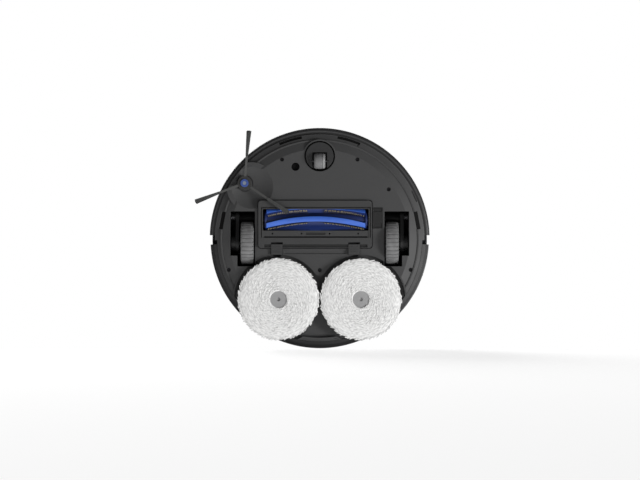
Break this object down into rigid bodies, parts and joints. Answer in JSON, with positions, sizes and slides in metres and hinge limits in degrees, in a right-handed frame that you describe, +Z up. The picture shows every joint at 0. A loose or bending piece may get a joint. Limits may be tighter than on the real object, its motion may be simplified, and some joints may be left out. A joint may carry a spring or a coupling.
{
  "type": "robot vacuum",
  "caption": "Round floor-cleaning robot with a main roller, a side brush, two spinning mop pads and a scanning turret.",
  "frame": {"origin": "on the floor under the middle of the body", "axes": "+Z up, front (bumper) at -Y, +X to the right in a view of the underside with the front up"},
  "size_m": [0.3743, 0.3518, 0.104],
  "materials": {
    "base_black": "fine moulded texture",
    "skirt_black": "satin",
    "cover_black": "satin",
    "lid_black": "gloss",
    "bumper_black": "satin",
    "window_black": "gloss",
    "guard_black": "satin",
    "inner_black": "matte",
    "motor_grey": "satin",
    "roller_blue": "satin",
    "fin_blue": "satin",
    "bristle_cream": "matte",
    "hub_blue": "gloss",
    "arm_black": "satin",
    "bristle_black": "matte",
    "screw_steel": "satin",
    "caster_grey": "satin",
    "caster_tyre": "matte",
    "pin_steel": "polished",
    "gearbox_grey": "satin",
    "wheel_grey": "satin",
    "tyre_grey": "matte",
    "spring_steel": "satin",
    "screw_drive": "satin",
    "mop_grey": "satin",
    "pad_white": "plush",
    "contact_brass": "polished",
    "turret_black": "satin",
    "turret_cap": "gloss",
    "pulley_metal": "satin",
    "belt_rubber": "matte",
    "button_black": "satin",
    "bin_smoke": "gloss",
    "filter_white": "pleated paper",
    "handle_blue": "satin",
    "fan_plastic": "satin",
    "battery_wrap": "gloss",
    "board_green": "gloss",
    "tank_smoke": "gloss"
  },
  "bodies": {
    "chassis": {"base_shell": "base_black", "rear_skirt": "skirt_black", "top_cover": "cover_black", "bumper_springs": "spring_steel", "brush_drive_cover": "guard_black", "brush_chamber": "inner_black", "brush_motor": "motor_grey", "side_brush_motor": "motor_grey", "wheel_housing_left": "inner_black", "wheel_housing_right": "inner_black", "suspension_springs": "spring_steel", "floor_sensors": "window_black", "charging_contacts": "contact_brass", "base_screws": "screw_steel", "lidar_base": "turret_black", "lidar_belt": "belt_rubber", "bin_bay": "inner_black", "fan_housing": "motor_grey", "battery": "battery_wrap", "main_board": "board_green", "water_tank": "tank_smoke", "water_pump": "motor_grey"},
    "bumper": {"bumper_shell": "bumper_black", "bumper_window": "window_black"},
    "guard": {"brush_guard": "guard_black"},
    "latch_left": {"guard_latch_left": "guard_black"},
    "latch_right": {"guard_latch_right": "guard_black"},
    "roller": {"roller_core": "roller_blue", "roller_fins": "fin_blue", "roller_bristles": "bristle_cream"},
    "side_brush": {"side_brush_hub": "hub_blue", "side_brush_arms": "arm_black", "side_brush_bristles": "bristle_black", "side_brush_screw": "screw_steel"},
    "caster": {"caster_fork": "caster_grey", "caster_axle": "pin_steel"},
    "caster_wheel": {"caster_wheel": "caster_tyre"},
    "arm_left": {"drive_gearbox_left": "gearbox_grey"},
    "arm_right": {"drive_gearbox_right": "gearbox_grey"},
    "wheel_left": {"wheel_hub_left": "wheel_grey", "wheel_tyre_left": "tyre_grey"},
    "wheel_right": {"wheel_hub_right": "wheel_grey", "wheel_tyre_right": "tyre_grey"},
    "mop_carriage": {"mop_gearbox": "motor_grey"},
    "lift_screw": {"lift_screw": "screw_drive"},
    "mop_left": {"mop_plate_left": "mop_grey", "mop_pad_left": "pad_white"},
    "mop_right": {"mop_plate_right": "mop_grey", "mop_pad_right": "pad_white"},
    "lidar_rotor": {"lidar_rotor": "turret_black"},
    "lidar_cap": {"lidar_cap": "turret_cap"},
    "lidar_pulley": {"lidar_pulley": "pulley_metal"},
    "power_button": {"power_button": "button_black"},
    "home_button": {"home_button": "button_black"},
    "lid": {"top_lid": "lid_black"},
    "dust_bin": {"bin_body": "bin_smoke", "bin_lid": "bin_smoke", "bin_filter": "filter_white"},
    "bin_handle": {"bin_handle": "handle_blue"},
    "impeller": {"fan_impeller": "fan_plastic"}
  },
  "joints": [
    {"name": "bumper_push", "type": "slide", "parent": "chassis", "child": "bumper", "axis": [0, 1, 0], "range_m": [0, 0.0035], "stiffness_N_per_m": 600, "springref_m": -0.003},
    {"name": "guard_drop", "type": "slide", "parent": "chassis", "child": "guard", "axis": [0, 0, -1], "range_m": [0, 0.045], "deforming": ["side_brush_bristles", "side_brush_arms"]},
    {"name": "latch_left_slide", "type": "slide", "parent": "guard", "child": "latch_left", "axis": [0, -1, 0], "range_m": [0, 0.003], "stiffness_N_per_m": 400, "springref_m": -0.002},
    {"name": "latch_right_slide", "type": "slide", "parent": "guard", "child": "latch_right", "axis": [0, -1, 0], "range_m": [0, 0.003], "stiffness_N_per_m": 400, "springref_m": -0.002},
    {"name": "roller_spin", "type": "hinge", "parent": "chassis", "child": "roller", "pos_m": [-0.006, -0.0305, 0.024], "axis": [1, 0, 0], "continuous": true},
    {"name": "side_brush_spin", "type": "hinge", "parent": "chassis", "child": "side_brush", "pos_m": [-0.1193, -0.0887, 0.006], "axis": [0, 0, 1], "continuous": true},
    {"name": "caster_swivel", "type": "hinge", "parent": "chassis", "child": "caster", "pos_m": [0, -0.1318, 0.02], "axis": [0, 0, 1], "continuous": true},
    {"name": "caster_roll", "type": "hinge", "parent": "caster", "child": "caster_wheel", "pos_m": [0, -0.1239, 0.0125], "axis": [1, 0, 0], "continuous": true},
    {"name": "suspension_left", "type": "hinge", "parent": "chassis", "child": "arm_left", "pos_m": [-0.135, -0.035, 0.042], "axis": [-1, 0, 0], "range_deg": [0, 30], "stiffness_Nm_per_rad": 0.5, "springref_deg": 51.57},
    {"name": "suspension_right", "type": "hinge", "parent": "chassis", "child": "arm_right", "pos_m": [0.135, -0.035, 0.042], "axis": [-1, 0, 0], "range_deg": [0, 30], "stiffness_Nm_per_rad": 0.5, "springref_deg": 51.57},
    {"name": "wheel_left_roll", "type": "hinge", "parent": "arm_left", "child": "wheel_left", "pos_m": [-0.1153, 0.0063, 0.034], "axis": [1, 0, 0], "continuous": true},
    {"name": "wheel_right_roll", "type": "hinge", "parent": "arm_right", "child": "wheel_right", "pos_m": [0.1153, 0.0063, 0.034], "axis": [1, 0, 0], "continuous": true},
    {"name": "mop_lift", "type": "slide", "parent": "chassis", "child": "mop_carriage", "axis": [0, 0, 1], "range_m": [0, 0.008]},
    {"name": "lift_screw_turn", "type": "hinge", "parent": "chassis", "child": "lift_screw", "pos_m": [0, 0.0717, 0.04], "axis": [0, 0, 1], "range_deg": [0, 720]},
    {"name": "mop_left_spin", "type": "hinge", "parent": "mop_carriage", "child": "mop_left", "pos_m": [-0.0654, 0.0957, 0.01], "axis": [0, 0, 1], "continuous": true},
    {"name": "mop_right_spin", "type": "hinge", "parent": "mop_carriage", "child": "mop_right", "pos_m": [0.0654, 0.0957, 0.01], "axis": [0, 0, 1], "continuous": true},
    {"name": "lidar_spin", "type": "hinge", "parent": "chassis", "child": "lidar_rotor", "pos_m": [0, 0.1029, 0.085], "axis": [0, 0, 1], "continuous": true},
    {"name": "lidar_pulley_spin", "type": "hinge", "parent": "chassis", "child": "lidar_pulley", "pos_m": [0.026, 0.1029, 0.078], "axis": [0, 0, 1], "continuous": true},
    {"name": "lidar_cap_press", "type": "slide", "parent": "chassis", "child": "lidar_cap", "axis": [0, 0, -1], "range_m": [0, 0.0012], "stiffness_N_per_m": 2500, "springref_m": -0.0006},
    {"name": "power_button_press", "type": "slide", "parent": "chassis", "child": "power_button", "axis": [0, 0, -1], "range_m": [0, 0.0008], "stiffness_N_per_m": 500, "springref_m": -0.001},
    {"name": "home_button_press", "type": "slide", "parent": "chassis", "child": "home_button", "axis": [0, 0, -1], "range_m": [0, 0.0008], "stiffness_N_per_m": 500, "springref_m": -0.001},
    {"name": "lid_lift", "type": "slide", "parent": "chassis", "child": "lid", "axis": [0, 0, 1], "range_m": [0, 0.14]},
    {"name": "bin_lift", "type": "slide", "parent": "chassis", "child": "dust_bin", "axis": [0, 0, 1], "range_m": [0, 0.056]},
    {"name": "bin_handle_turn", "type": "hinge", "parent": "dust_bin", "child": "bin_handle", "pos_m": [-0.0286, 0.0144, 0.0786], "axis": [1, 0, 0], "range_deg": [0, 90]},
    {"name": "fan_spin", "type": "hinge", "parent": "chassis", "child": "impeller", "pos_m": [0.04, 0.0255, 0.052], "axis": [1, 0, 0], "continuous": true}
  ],
  "couplings": [
    {"joint": "mop_right_spin", "follows": "mop_left_spin", "ratio": -1},
    {"joint": "lift_screw_turn", "follows": "mop_lift", "rad_per_m": 1570.8},
    {"joint": "lidar_pulley_spin", "follows": "lidar_spin", "ratio": 4.5},
    {"joint": "bin_lift", "follows": "lid_lift", "ratio": 0.4},
    {"joint": "bin_handle_turn", "follows": "lid_lift", "rad_per_m": 11.22}
  ]
}
